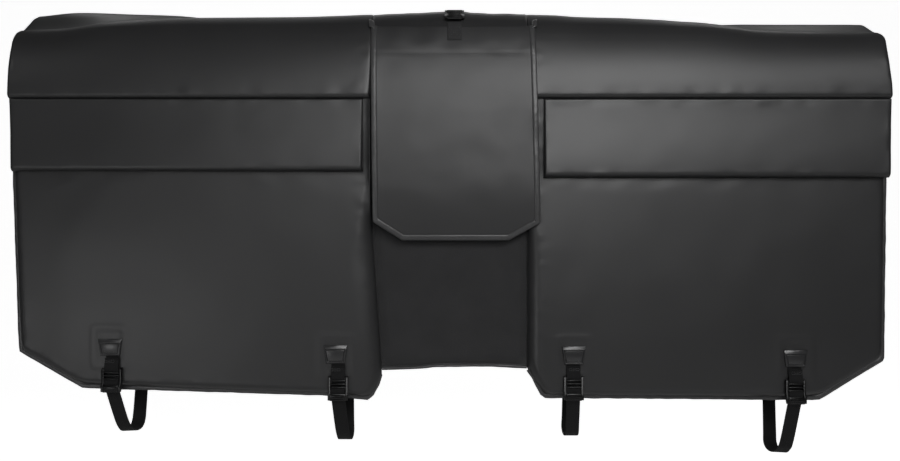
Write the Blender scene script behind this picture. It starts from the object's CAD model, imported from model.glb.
"""Tailgate bike pad as it hangs in its photograph: padded wings, access flap, tie, buckles and webbing loops.

Soft pieces are cut as flat patterns and hung over the tailgate's section. A point of a pattern has three
numbers: x across the tailgate, v along its section, and n, the height above the tailgate's skin. v is zero at
the middle of the top edge, negative on the outside and positive on the bed side. All are in metres.
"""
import logging
import math
from collections.abc import Callable, Iterable, Iterator, Sequence
from dataclasses import dataclass, field
from enum import Enum

import bmesh
import bpy
from mathutils import Matrix, Vector, noise


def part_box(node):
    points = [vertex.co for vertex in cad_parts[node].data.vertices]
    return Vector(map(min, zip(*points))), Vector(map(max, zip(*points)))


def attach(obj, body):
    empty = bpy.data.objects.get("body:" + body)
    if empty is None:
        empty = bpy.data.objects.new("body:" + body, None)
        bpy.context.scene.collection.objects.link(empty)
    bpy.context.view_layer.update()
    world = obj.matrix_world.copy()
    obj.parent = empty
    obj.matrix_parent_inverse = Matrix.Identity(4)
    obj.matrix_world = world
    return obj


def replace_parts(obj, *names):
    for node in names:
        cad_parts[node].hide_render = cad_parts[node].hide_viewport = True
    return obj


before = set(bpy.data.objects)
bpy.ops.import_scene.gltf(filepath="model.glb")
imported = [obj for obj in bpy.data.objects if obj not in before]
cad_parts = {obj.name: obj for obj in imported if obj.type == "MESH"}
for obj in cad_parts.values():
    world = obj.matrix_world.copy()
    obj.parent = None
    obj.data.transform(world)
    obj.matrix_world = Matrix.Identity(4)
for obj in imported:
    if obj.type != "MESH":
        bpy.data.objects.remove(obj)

LOG = logging.getLogger("tailgate_pad")
Place = Callable[[float, float], Vector]
Stops = Sequence[tuple[float, float]]
Station = tuple[Vector, Vector, float, float]


class Side(Enum):
    """Which wing of the pad, by the sign of its X."""

    LEFT = -1
    RIGHT = 1

    @property
    def word(self) -> str:
        """The side's word in the names of the CAD nodes."""
        return self.name.lower()


# Shader nodes


@dataclass
class Wiring:
    """Adds nodes to one shader tree and wires them together."""

    tree: bpy.types.NodeTree

    def add(self, kind: str, **settings: object) -> bpy.types.Node:
        """Adds a node and sets its properties.

        Args:
            kind: the node's type name.
            settings: properties to set on the node.

        Returns:
            The new node.
        """
        node = self.tree.nodes.new(kind)
        for name, value in settings.items():
            setattr(node, name, value)
        return node

    def feed(self, node: bpy.types.Node, **values: object) -> bpy.types.Node:
        """Sets a node's inputs by name, from plain values or from other nodes' outputs.

        Args:
            node: the node that is fed.
            values: input names, with underscores for spaces, and what each gets.

        Returns:
            The same node.
        """
        for name, value in values.items():
            target = node.inputs[name.replace("_", " ")]
            if isinstance(value, bpy.types.NodeSocket):
                self.tree.links.new(value, target)
            else:
                target.default_value = value
        return node

    def math(self, operation: str, first: object, second: object = 0.0) -> bpy.types.NodeSocket:
        """Works out one step of arithmetic.

        Args:
            operation: the Math node's operation.
            first: a number or an output.
            second: a number or an output.

        Returns:
            The result's socket.
        """
        node = self.add("ShaderNodeMath", operation=operation)
        for target, value in zip(node.inputs, (first, second)):
            if isinstance(value, bpy.types.NodeSocket):
                self.tree.links.new(value, target)
            else:
                target.default_value = value
        return node.outputs[0]

    def blend(self, factor: object, low: object, high: object) -> bpy.types.NodeSocket:
        """Mixes two numbers by a factor.

        Args:
            factor: the share of high.
            low: the value at zero.
            high: the value at one.

        Returns:
            The mixed value's socket.
        """
        return self.math("ADD", low, self.math("MULTIPLY", factor, self.math("SUBTRACT", high, low)))


def new_group(name: str, inputs: dict[str, float], outputs: Iterable[str]) -> tuple[Wiring, dict, dict]:
    """Makes an empty shader node group of plain numbers.

    Args:
        name: the group's name.
        inputs: input names and their usual values.
        outputs: output names.

    Returns:
        The group's wiring, its input sockets by name, and its output sockets by name.
    """
    tree = bpy.data.node_groups.new(name, "ShaderNodeTree")
    for key, value in inputs.items():
        socket = tree.interface.new_socket(key, in_out="INPUT", socket_type="NodeSocketFloat")
        socket.default_value = value
    for key in outputs:
        tree.interface.new_socket(key, in_out="OUTPUT", socket_type="NodeSocketFloat")
    wiring = Wiring(tree)
    source, sink = wiring.add("NodeGroupInput"), wiring.add("NodeGroupOutput")
    return wiring, {s.name: s for s in source.outputs}, {s.name: s for s in sink.inputs}


def grain_group() -> bpy.types.NodeTree:
    """Fine pebbled grain with soft cloudy tone, read in Object coordinates.

    Returns:
        The node group, with Height, Tone and Gloss outputs.
    """
    wiring, given, made = new_group(
        "coated_grain", {"Grain Scale": 900.0, "Cloud Scale": 9.0}, ("Height", "Tone", "Gloss")
    )
    where = wiring.add("ShaderNodeTexCoord").outputs["Object"]
    grain, clouds = given["Grain Scale"], given["Cloud Scale"]
    cells = wiring.feed(wiring.add("ShaderNodeTexVoronoi"), Vector=where, Scale=grain)
    fine = wiring.feed(wiring.add("ShaderNodeTexNoise"), Vector=where, Scale=grain, Detail=2.0)
    cloud = wiring.feed(wiring.add("ShaderNodeTexNoise"), Vector=where, Scale=clouds, Detail=4.0)
    height = wiring.blend(0.5, cells.outputs["Distance"], fine.outputs["Fac"])
    wiring.tree.links.new(height, made["Height"])
    wiring.tree.links.new(cloud.outputs["Fac"], made["Tone"])
    wiring.tree.links.new(wiring.blend(0.35, cloud.outputs["Fac"], fine.outputs["Fac"]), made["Gloss"])
    return wiring.tree


def weave_group() -> bpy.types.NodeTree:
    """Plain weave over a piece's own UV map, which is in metres along and across the cloth.

    Returns:
        The node group, with Height and Tone outputs.
    """
    wiring, given, made = new_group("woven_yarns", {"Along": 1400.0, "Across": 700.0}, ("Height", "Tone"))
    where = wiring.add("ShaderNodeUVMap", uv_map="cloth").outputs["UV"]
    parts = wiring.feed(wiring.add("ShaderNodeSeparateXYZ"), Vector=where)
    across = wiring.math("MULTIPLY", parts.outputs["X"], given["Across"])
    along = wiring.math("MULTIPLY", parts.outputs["Y"], given["Along"])
    warp = wiring.math("ABSOLUTE", wiring.math("SINE", wiring.math("MULTIPLY", across, math.pi)))
    weft = wiring.math("ABSOLUTE", wiring.math("SINE", wiring.math("MULTIPLY", along, math.pi)))
    steps = wiring.math("ADD", wiring.math("FLOOR", across), wiring.math("FLOOR", along))
    row = wiring.math("PINGPONG", steps, 1.0)
    height = wiring.blend(wiring.math("ROUND", row), warp, weft)
    fuzz = wiring.feed(wiring.add("ShaderNodeTexNoise"), Vector=where, Scale=1500.0, Detail=2.0)
    wiring.tree.links.new(height, made["Height"])
    wiring.tree.links.new(wiring.blend(0.4, height, fuzz.outputs["Fac"]), made["Tone"])
    return wiring.tree


def crumple_group() -> bpy.types.NodeTree:
    """Small creases across a binding tape, over its own UV map.

    Returns:
        The node group, with Height and Tone outputs.
    """
    wiring, given, made = new_group("crumpled_tape", {"Crease Scale": 60.0}, ("Height", "Tone"))
    where = wiring.add("ShaderNodeUVMap", uv_map="cloth").outputs["UV"]
    creases = wiring.add("ShaderNodeTexNoise")
    wiring.feed(creases, Vector=where, Scale=given["Crease Scale"], Detail=3.0, Distortion=1.2)
    wiring.tree.links.new(creases.outputs["Fac"], made["Height"])
    wiring.tree.links.new(creases.outputs["Fac"], made["Tone"])
    return wiring.tree


@dataclass(frozen=True)
class Finish:
    """Base of every finish: a Principled material and the library's slot that it belongs to."""

    name: str
    slot: str
    colour: tuple[float, float, float]
    roughness: float
    sheen: float = 0.0
    shine: float = 0.5

    def start(self) -> tuple[bpy.types.Material, Wiring, bpy.types.Node]:
        """Makes the material with its fixed values.

        Returns:
            The material, its wiring and its Principled node.
        """
        material = bpy.data.materials.new(self.name)
        material.use_nodes = True
        shader = material.node_tree.nodes["Principled BSDF"]
        wiring = Wiring(material.node_tree)
        wiring.feed(shader, Base_Color=(*self.colour, 1.0), Roughness=self.roughness, Metallic=0.0,
                    Specular_IOR_Level=self.shine)
        if self.sheen:
            wiring.feed(shader, Sheen_Weight=self.sheen, Sheen_Roughness=0.45)
        return material, wiring, shader

    def shade(self, wiring: Wiring, shader: bpy.types.Node, tone: object, spread: float) -> None:
        """Lets the colour vary with a tone.

        Args:
            wiring: the material's wiring.
            shader: the Principled node.
            tone: socket between 0 and 1.
            spread: how far the colour moves from its own value, as a share of it.
        """
        ramp = wiring.feed(wiring.add("ShaderNodeMix", data_type="RGBA"), Factor=tone)
        dark, light = (tuple(c * (1 + sign * spread) for c in self.colour) for sign in (-1, 1))
        ramp.inputs[6].default_value, ramp.inputs[7].default_value = (*dark, 1.0), (*light, 1.0)
        wiring.tree.links.new(ramp.outputs[2], shader.inputs["Base Color"])

    def emboss(self, wiring: Wiring, shader: bpy.types.Node, height: object, depth: float) -> None:
        """Adds relief.

        Args:
            wiring: the material's wiring.
            shader: the Principled node.
            height: socket between 0 and 1.
            depth: how deep the relief is, in metres.
        """
        bump = wiring.feed(wiring.add("ShaderNodeBump"), Height=height, Distance=depth, Strength=1.0)
        wiring.tree.links.new(bump.outputs["Normal"], shader.inputs["Normal"])

    def make(self) -> bpy.types.Material:
        """Builds the material."""
        return self.start()[0]


@dataclass(frozen=True)
class CoatedFabric(Finish):
    """Satin tarpaulin, with a fine pebbled grain and cloudy gloss."""

    grain: float = 900.0
    relief: float = 0.00006
    cloud: float = 0.10

    def make(self) -> bpy.types.Material:
        """Builds the material.

        Returns:
            The material.
        """
        material, wiring, shader = self.start()
        grain = wiring.add("ShaderNodeGroup", node_tree=GROUPS["grain"])
        wiring.feed(grain, Grain_Scale=self.grain, Cloud_Scale=7.0)
        self.shade(wiring, shader, grain.outputs["Tone"], self.cloud)
        gloss = wiring.blend(grain.outputs["Gloss"], self.roughness - 0.06, self.roughness + 0.06)
        wiring.feed(shader, Roughness=gloss)
        self.emboss(wiring, shader, grain.outputs["Height"], self.relief)
        return material


@dataclass(frozen=True)
class BindingTape(Finish):
    """The same tarpaulin as a narrow tape, crumpled where it turns the edge."""

    relief: float = 0.0009

    def make(self) -> bpy.types.Material:
        """Builds the material.

        Returns:
            The material.
        """
        material, wiring, shader = self.start()
        crumple = wiring.add("ShaderNodeGroup", node_tree=GROUPS["crumple"])
        wiring.feed(crumple, Crease_Scale=70.0)
        self.shade(wiring, shader, crumple.outputs["Tone"], 0.35)
        self.emboss(wiring, shader, crumple.outputs["Height"], self.relief)
        return material


@dataclass(frozen=True)
class Woven(Finish):
    """Webbing or thread with a plain weave."""

    along: float = 620.0
    across: float = 480.0
    relief: float = 0.00035

    def make(self) -> bpy.types.Material:
        """Builds the material.

        Returns:
            The material.
        """
        material, wiring, shader = self.start()
        weave = wiring.add("ShaderNodeGroup", node_tree=GROUPS["weave"])
        wiring.feed(weave, Along=self.along, Across=self.across)
        self.shade(wiring, shader, weave.outputs["Tone"], 0.45)
        self.emboss(wiring, shader, weave.outputs["Height"], self.relief)
        return material


@dataclass(frozen=True)
class Moulded(Finish):
    """Moulded plastic with a spark-eroded skin and soft wear in its gloss."""

    relief: float = 0.00003

    def make(self) -> bpy.types.Material:
        """Builds the material.

        Returns:
            The material.
        """
        material, wiring, shader = self.start()
        grain = wiring.add("ShaderNodeGroup", node_tree=GROUPS["grain"])
        wiring.feed(grain, Grain_Scale=1600.0, Cloud_Scale=60.0)
        self.shade(wiring, shader, grain.outputs["Tone"], 0.2)
        gloss = wiring.blend(grain.outputs["Gloss"], self.roughness - 0.1, self.roughness + 0.1)
        wiring.feed(shader, Roughness=gloss)
        self.emboss(wiring, shader, grain.outputs["Height"], self.relief)
        return material


@dataclass(frozen=True)
class Brushed(Finish):
    """Soft brushed lining with a short nap."""

    relief: float = 0.0004

    def make(self) -> bpy.types.Material:
        """Builds the material.

        Returns:
            The material.
        """
        material, wiring, shader = self.start()
        grain = wiring.add("ShaderNodeGroup", node_tree=GROUPS["grain"])
        wiring.feed(grain, Grain_Scale=420.0, Cloud_Scale=22.0)
        self.shade(wiring, shader, grain.outputs["Tone"], 0.3)
        self.emboss(wiring, shader, grain.outputs["Height"], self.relief)
        return material


@dataclass(frozen=True)
class StudioWhite(Finish):
    """Pale floor and backdrop, which read white to the camera and in reflections."""

    glow: float = 0.93

    def make(self) -> bpy.types.Material:
        """Builds the material.

        Returns:
            The material.
        """
        material, wiring, shader = self.start()
        path = wiring.add("ShaderNodeLightPath")
        seen = wiring.math("MAXIMUM", path.outputs["Is Camera Ray"], path.outputs["Is Transmission Ray"])
        glow = wiring.math("MULTIPLY", seen, self.glow)
        wiring.feed(shader, Emission_Color=(1.0, 1.0, 1.0, 1.0), Emission_Strength=glow)
        return material


GROUPS = {"grain": grain_group(), "weave": weave_group(), "crumple": crumple_group()}
COVER = CoatedFabric("cover_tarpaulin", "coated_fabric", (0.0215, 0.0215, 0.0222), 0.38)
FLAP = CoatedFabric("flap_tarpaulin", "coated_fabric", (0.024, 0.024, 0.0248), 0.42)
PATCH = CoatedFabric("patch_tarpaulin", "coated_fabric", (0.026, 0.026, 0.027), 0.24, grain=1300.0)
TAPE = BindingTape("binding_tape", "coated_fabric", (0.044, 0.044, 0.045), 0.34)
WEBBING = Woven("nylon_webbing", "webbing", (0.0050, 0.0050, 0.0054), 0.66, 0.03, shine=0.22)
TIE_WEBBING = Woven("tie_webbing_grey", "webbing", (0.022, 0.022, 0.023), 0.6, 0.04, shine=0.35)
THREAD = Woven("bonded_thread", "webbing", (0.030, 0.030, 0.031), 0.5, 0.1, along=3000.0, across=900.0,
               relief=0.0001)
PLASTIC = Moulded("buckle_plastic", "moulded_plastic", (0.0022, 0.0022, 0.0024), 0.30, shine=0.40)
LINING = Brushed("soft_lining", "brushed_lining", (0.020, 0.020, 0.021), 0.95, 0.35)


# Section of the tailgate and small geometry helpers


def smooth(share: float) -> float:
    """Smoothstep of a share, held between 0 and 1."""
    share = min(max(share, 0.0), 1.0)
    return share * share * (3 - 2 * share)


def quarter_round(share: float) -> float:
    """Height of a quarter round at a share of its width."""
    return math.sqrt(1 - (1 - min(max(share, 0.0), 1.0)) ** 2)


def bell(distance: float, width: float) -> float:
    """Bell curve: 1 at no distance, and next to nothing past twice the width."""
    return math.exp(-(distance / width) ** 2)


def flow(stops: Stops, value: float) -> float:
    """Smooth line through stops that never overshoots them, level before the first and after the last.

    Args:
        stops: pairs of place and height, in rising order of place.
        value: the place that is asked for.

    Returns:
        The height there.
    """
    if value <= stops[0][0]:
        return stops[0][1]
    if value >= stops[-1][0]:
        return stops[-1][1]
    slopes = [(high - low) / (end - start) for (start, low), (end, high) in zip(stops, stops[1:])]
    index = next(i for i, (end, _) in enumerate(stops[1:]) if value <= end)

    def tangent(knot: int) -> float:
        """Slope at a stop, by the harmonic mean of its neighbours.

        Args:
            knot: index of the stop.

        Returns:
            The slope.
        """
        if knot in (0, len(slopes)):
            return slopes[min(knot, len(slopes) - 1)]
        before, after = slopes[knot - 1], slopes[knot]
        return 0.0 if before * after <= 0 else 2 * before * after / (before + after)

    (start, low), (end, high) = stops[index], stops[index + 1]
    span = end - start
    t = (value - start) / span
    return ((2 * t ** 3 - 3 * t ** 2 + 1) * low + (t ** 3 - 2 * t ** 2 + t) * span * tangent(index)
            + (3 * t ** 2 - 2 * t ** 3) * high + (t ** 3 - t ** 2) * span * tangent(index + 1))


def ripple(x: float, y: float, wave: float, seed: float = 0.0) -> float:
    """Smooth random height between about -1 and 1, with a given wavelength in metres."""
    return noise.noise(Vector((x / wave, y / wave, seed)))


@dataclass(frozen=True)
class Section:
    """Tailgate's cross section, over which every pattern is hung."""

    thickness: float
    radius: float = 0.012

    @property
    def flat(self) -> float:
        """Half the width of the flat part of the top edge."""
        return self.thickness / 2 - self.radius

    @property
    def bend(self) -> float:
        """Length of skin round one edge."""
        return self.radius * math.pi / 2

    def below(self, depth: float) -> float:
        """Distance along the section from the middle of the top to a depth below it."""
        return self.flat + self.bend + depth - self.radius

    def place(self, x: float, v: float, n: float) -> Vector:
        """Hangs one point of a pattern over the tailgate.

        Args:
            x: place across the tailgate.
            v: place along the section.
            n: height above the tailgate's skin.

        Returns:
            The point in the pad's frame.
        """
        side, along = (-1.0 if v < 0 else 1.0), abs(v)
        if along <= self.flat:
            return Vector((x, v, n))
        if along <= self.flat + self.bend:
            turn = (along - self.flat) / self.radius
            reach = self.radius + n
            out, up = self.flat + reach * math.sin(turn), reach * math.cos(turn) - self.radius
            return Vector((x, side * out, up))
        depth = along - self.flat - self.bend + self.radius
        return Vector((x, side * (self.thickness / 2 + n), -depth))


LINING_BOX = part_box("lining")
LINING_THICK = 0.0015
GATE = Section(thickness=LINING_BOX[1][1] - LINING_BOX[0][1] - 2 * LINING_THICK)


@dataclass(frozen=True)
class Pattern:
    """Convex flat pattern, with the hem margin and the edge rounding of each side."""

    corners: tuple[tuple[float, float], ...]
    rims: tuple[tuple[float, float], ...]

    def sides(self) -> Iterator[tuple[Vector, Vector, float, float]]:
        """Start, inward normal, hem and rounding of each side.

        Returns:
            The four values of each side in turn.
        """
        for index, (start, rim) in enumerate(zip(self.corners, self.rims)):
            end = self.corners[(index + 1) % len(self.corners)]
            along = (Vector(end) - Vector(start)).normalized()
            yield Vector(start), Vector((-along.y, along.x)), *rim

    def rise(self, x: float, v: float) -> float:
        """Share of the full padding at a point, 0 on the hem and 1 well inside.

        Args:
            x: place across the pattern.
            v: place along the section.

        Returns:
            The share.
        """
        risen = 1.0
        for start, normal, hem, rounding in self.sides():
            if rounding:
                risen *= quarter_round(((Vector((x, v)) - start).dot(normal) - hem) / rounding)
        return risen

    @property
    def size(self) -> tuple[float, float]:
        """Width and length of the cloth that the pattern is cut from."""
        xs, vs = zip(*self.corners)
        return max(xs) - min(xs), max(vs) - min(vs)

    @property
    def area(self) -> float:
        """Area of the cut pattern."""
        pairs = zip(self.corners, self.corners[1:] + self.corners[:1])
        return sum(x0 * v1 - x1 * v0 for (x0, v0), (x1, v1) in pairs) / 2

    def edge(self, x: float, v: float) -> float:
        """Distance from a point to the nearest side."""
        return min((Vector((x, v)) - start).dot(normal) for start, normal, *_ in self.sides())

    def cut(self, pitch: float, shares: Sequence[float],
            lines: Iterable[tuple[Vector, Vector]] = ()) -> bmesh.types.BMesh:
        """Cuts the pattern from a grid.

        Args:
            pitch: spacing of the grid.
            shares: where each side's rounding is cut, as shares of its width.
            lines: more cuts, each a point and a normal.

        Returns:
            The flat mesh, with x and v as its coordinates.
        """
        low = Vector(map(min, zip(*self.corners)))
        high = Vector(map(max, zip(*self.corners)))
        size = high - low
        sheet = grid(round(size.x / pitch), round(size.y / pitch))
        spread = Matrix.Translation((*low, 0)) @ Matrix.Diagonal((size.x, size.y, 1, 1))
        bmesh.ops.transform(sheet, verts=sheet.verts[:], matrix=spread)
        cuts = [(start, normal, True) for start, normal, *_ in self.sides()]
        cuts += [(start + normal * (hem + share * rounding), normal, False)
                 for start, normal, hem, rounding in self.sides() if rounding for share in shares]
        cuts += [(point, normal, False) for point, normal in lines]
        for point, normal, trim in cuts:
            everything = sheet.verts[:] + sheet.edges[:] + sheet.faces[:]
            bmesh.ops.bisect_plane(sheet, geom=everything, dist=0.0003, plane_co=(*point, 0),
                                   plane_no=(*normal, 0), clear_inner=trim)
        return sheet


def grid(columns: int, rows: int) -> bmesh.types.BMesh:
    """Flat grid over the unit square.

    Args:
        columns: cells along X.
        rows: cells along Y.

    Returns:
        The grid, from 0 to 1 both ways.
    """
    mesh = bmesh.new()
    bmesh.ops.create_grid(mesh, x_segments=max(columns, 1), y_segments=max(rows, 1), size=0.5)
    bmesh.ops.translate(mesh, verts=mesh.verts[:], vec=(0.5, 0.5, 0))
    return mesh


def level(*values: float) -> list[tuple[Vector, Vector]]:
    """Cuts straight across a pattern at these places along the section."""
    return [(Vector((0, v)), Vector((0, 1))) for v in values]


def finished(name: str, mesh: bmesh.types.BMesh, finish: Finish, flat_uv: bool = False) -> bpy.types.Object:
    """Turns a mesh into a piece with its finish, smooth shading and its place in the frame.

    Args:
        name: the piece's name.
        mesh: the shape, which is freed.
        finish: what it is made of.
        flat_uv: whether the mesh already has its cloth UV map.

    Returns:
        The new object.
    """
    if not flat_uv:
        layer = mesh.loops.layers.uv.verify()
        for face in mesh.faces:
            for loop in face.loops:
                loop[layer].uv = (loop.vert.co.x, loop.vert.co.z + loop.vert.co.y)
    for face in mesh.faces:
        face.smooth = True
    data = bpy.data.meshes.new(name)
    mesh.to_mesh(data)
    mesh.free()
    data.uv_layers[0].name = "cloth"
    data.materials.append(material_of(finish))
    piece = bpy.data.objects.new(name, data)
    bpy.context.scene.collection.objects.link(piece)
    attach(piece, "root")
    LOG.info("%s: %d faces", name, len(data.polygons))
    return piece


def material_of(finish: Finish) -> bpy.types.Material:
    """The material of a finish, built once."""
    return bpy.data.materials.get(finish.name) or finish.make()


def thicken(piece: bpy.types.Object, thickness: float, offset: float = -1.0,
            bevel: float = 0.0) -> bpy.types.Object:
    """Gives a sheet its thickness, and rounds its cut edge where asked.

    Args:
        piece: the sheet.
        thickness: how thick it is.
        offset: -1 puts the thickness under the face, 0 on both sides.
        bevel: radius of the rounded edge.

    Returns:
        The same piece.
    """
    wall = piece.modifiers.new("thickness", "SOLIDIFY")
    wall.thickness, wall.offset, wall.use_even_offset = thickness, offset, True
    if bevel:
        soften(piece, bevel)
    return piece


def soften(piece: bpy.types.Object, width: float, segments: int = 2, angle: float = 50) -> bpy.types.Object:
    """Rounds a piece's sharp edges.

    Args:
        piece: the piece.
        width: width of the bevel.
        segments: steps across it.
        angle: edges sharper than this many degrees are rounded.

    Returns:
        The same piece.
    """
    edge = piece.modifiers.new("soft_edges", "BEVEL")
    edge.width, edge.segments = width, segments
    edge.limit_method, edge.angle_limit = "ANGLE", math.radians(angle)
    return piece


# Cloth surfaces


@dataclass
class Skin:
    """A hung cloth surface, as a height above the tailgate's skin at each point of its flat pattern."""

    pattern: Pattern

    def height(self, x: float, v: float) -> float:
        """Height of the outer face at a point of the pattern."""
        raise NotImplementedError

    def warp(self, x: float, v: float) -> tuple[float, float]:
        """Where the cloth's own pull moves a point of the pattern."""
        return x, v

    def hung(self, x: float, v: float, n: float) -> Vector:
        """A point of the pattern at a height of its own."""
        return GATE.place(*self.warp(x, v), n)

    def point(self, x: float, v: float, lift: float = 0.0) -> Vector:
        """The hung point, raised by a lift."""
        return self.hung(x, v, self.height(x, v) + lift)

    def frame(self, x: float, v: float, along: tuple[float, float], lift: float = 0.0) -> Matrix:
        """Local axes on the cloth, for what is sewn to it.

        Args:
            x: place across.
            v: place along the section.
            along: direction of the local Y axis in the pattern.
            lift: height over the cloth.

        Returns:
            Matrix with its Y axis along the direction and its Z axis out of the cloth.
        """
        step = 0.0008
        here = self.point(x, v)
        run = self.point(x + along[0] * step, v + along[1] * step) - here
        cross = self.point(x + along[1] * step, v - along[0] * step) - here
        out = cross.cross(run).normalized()
        run.normalize()
        turned = Matrix((run.cross(out), run, out)).transposed().to_4x4()
        return Matrix.Translation(here + out * lift) @ turned

    def hang(self, name: str, mesh: bmesh.types.BMesh, finish: Finish) -> bpy.types.Object:
        """Hangs a cut pattern and keeps its flat coordinates as the cloth's UV map.

        Args:
            name: the piece's name.
            mesh: the flat mesh.
            finish: what it is made of.

        Returns:
            The new piece.
        """
        layer = mesh.loops.layers.uv.verify()
        for face in mesh.faces:
            for loop in face.loops:
                loop[layer].uv = loop.vert.co.xy
        for vert in mesh.verts:
            vert.co = self.point(vert.co.x, vert.co.y)
        return finished(name, mesh, finish, flat_uv=True)


CREASE = -GATE.below(0.116)
BAND_FOOT = -GATE.below(0.248)
FRONT_EDGE = -(GATE.flat + GATE.bend)
FLANGE = 0.0045
PANEL = 0.024
VALLEY = 0.031
FULL_DROP = GATE.below(0.65)
SHELL_NODES = ("cover", "panel_foam", "roll_foam", "top_foam", "bed_foam")


@dataclass(frozen=True)
class Roll:
    """Cross section of the roll over the top: an elliptical front, and a slope up to the rear ridge."""

    reach: float = 0.0405
    fullest: float = 0.112
    ridge_at: float = 0.032
    bed: float = 0.014

    def height(self, v: float, crest: float, ridge: float) -> float:
        """Height of the roll's face.

        Args:
            v: place along the section.
            crest: height of the ellipse's top, at the front of the tailgate's flat.
            ridge: height of the ridge at the rear of the flat.

        Returns:
            The height above the skin.
        """
        if v >= -GATE.flat:
            bend = GATE.flat + 0.6 * GATE.bend
            return flow(((-GATE.flat, crest), (self.ridge_at, ridge), (bend, 0.8 * ridge),
                         (GATE.below(0.06), self.bed)), v)
        wide, tall, drop = self.reach + GATE.radius, crest + self.fullest, self.fullest - GATE.radius
        if v <= FRONT_EDGE:
            depth = -v - GATE.flat - GATE.bend + GATE.radius
            return wide * math.sqrt(max(0.0, 1 - ((self.fullest - depth) / tall) ** 2)) - GATE.radius
        turn = (-v - GATE.flat) / GATE.radius
        across, up = math.sin(turn) / wide, math.cos(turn) / tall
        square, straight, rest = across ** 2 + up ** 2, 2 * up * drop / tall, (drop / tall) ** 2 - 1
        return (-straight + math.sqrt(straight ** 2 - 4 * square * rest)) / (2 * square) - GATE.radius


ROLL = Roll()


@dataclass(frozen=True)
class WingCut:
    """How one wing is cut and filled. X is that of a right-hand wing, and depths are below the top edge."""

    side: Side
    corners: tuple[tuple[float, float], ...]
    seam: float
    band: tuple[float, float, float]
    band_foot: float
    crest: Stops
    ridge: Stops
    pull: Stops
    lean: Stops
    sag: Stops
    seam_round: Stops
    end_round: Stops
    hoods: tuple[tuple[float, float], ...]
    end_from: float = 0.60
    end_over: float = 0.17
    hood_half: tuple[float, float] = (0.020, 0.026)

    def drawn_in(self, x: float, v: float) -> float:
        """How far the outer end is drawn in at a point."""
        return flow(self.pull, v) * smooth((x - self.end_from) / self.end_over)


@dataclass
class WingSkin(Skin):
    """Coated cover of one wing, drawn over its panel, roll and top."""

    cut: WingCut
    ends: tuple[int, int]

    def warp(self, x: float, v: float) -> tuple[float, float]:
        """Draws the end in over the top, leans the centre seam, and lets the bottom edge sag.

        Args:
            x: place across the pattern.
            v: place along the section.

        Returns:
            The moved x and v.
        """
        inner = 1 - smooth((x - self.cut.seam) / 0.10)
        low = 1 - smooth((v + FULL_DROP) / 0.12)
        return x - self.cut.drawn_in(x, v) + flow(self.cut.lean, v) * inner, v - flow(self.cut.sag, x) * low

    def waves(self, x: float, v: float) -> float:
        """Slack of the cover: broad waves on the panels, and small puckers by the seams.

        Args:
            x: place across the pattern.
            v: place along the section.

        Returns:
            The height that it adds.
        """
        seed = 3.0 if self.cut.side is Side.LEFT else 17.0
        low = smooth((BAND_FOOT - v) / 0.03)
        broad = 0.0010 * ripple(x, v, 0.21, seed) + 0.0006 * ripple(x * 1.3, v, 0.085, seed + 5)
        edge = self.pattern.edge(x, v)
        pucker = 0.0009 * ripple(x, v * 1.7, 0.024, seed + 9) * bell(edge - 0.014, 0.016)
        crease = 0.0016 * ripple(x, 0.0, 0.034, seed + 2) * bell(v - CREASE - 0.006, 0.012)
        foot = 0.0010 * ripple(x, v, 0.040, seed + 4) * bell(v - BAND_FOOT + 0.012, 0.014)
        return broad * (0.4 + 0.6 * low) + pucker + crease + foot + self.sewn(x, v)

    def sewn(self, x: float, v: float) -> float:
        """Low swelling of the cover round each patch that is sewn through it.

        Args:
            x: place across the pattern.
            v: place along the section.

        Returns:
            The height that it adds.
        """
        lift = 0.0
        for hood_x, depth in self.cut.hoods:
            wide, tall = self.cut.hood_half
            away = max(abs(x - hood_x) - wide, abs(-v - GATE.below(depth)) - tall)
            lift += 0.0011 * bell(away - 0.007, 0.0050)
            lift -= 0.0006 * bell(away, 0.004)
        return lift

    def rise(self, x: float, v: float) -> float:
        """Share of the full padding, which ends softly at the seam and short at the outer end.

        Args:
            x: place across the pattern.
            v: place along the section.

        Returns:
            The share.
        """
        sides = list(self.pattern.sides())
        away = min((Vector((x, v)) - sides[k][0]).dot(sides[k][1]) for k in self.ends)
        hem = flow(((BAND_FOOT - 0.01, 0.0080), (CREASE, 0.0010)), v)
        rounding = flow(self.cut.end_round, v)
        floor = flow(((BAND_FOOT - 0.12, 0.0), (BAND_FOOT, 0.40), (CREASE, 0.55), (CREASE + 0.02, 0.86),
                      (FRONT_EDGE, 0.97)), v)
        inner = floor + (1 - floor) * quarter_round((x - self.cut.seam) / flow(self.cut.seam_round, v))
        return self.pattern.rise(x, v) * quarter_round((away - hem) / rounding) * inner

    def height(self, x: float, v: float) -> float:
        """Height of the cover's outer face.

        Args:
            x: place across the pattern.
            v: place along the section.

        Returns:
            The height above the tailgate's skin.
        """
        step = quarter_round((v - CREASE) / 0.008)
        belly = 0.0022 * math.sin(math.pi * min(max((v + FULL_DROP) / 0.4, 0.0), 1.0))
        base = flow(((BAND_FOOT, PANEL), (CREASE, VALLEY)), v) + belly
        lip = 0.0050 * bell(x - self.cut.seam - 0.0030, 0.0016)
        base += lip * smooth((v - BAND_FOOT + 0.1) / 0.05) * (1 - step)
        roll = ROLL.height(v, flow(self.cut.crest, x), flow(self.cut.ridge, x))
        full = base + (roll - base) * step
        return FLANGE + (full - FLANGE + self.waves(x, v)) * self.rise(x, v)


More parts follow.
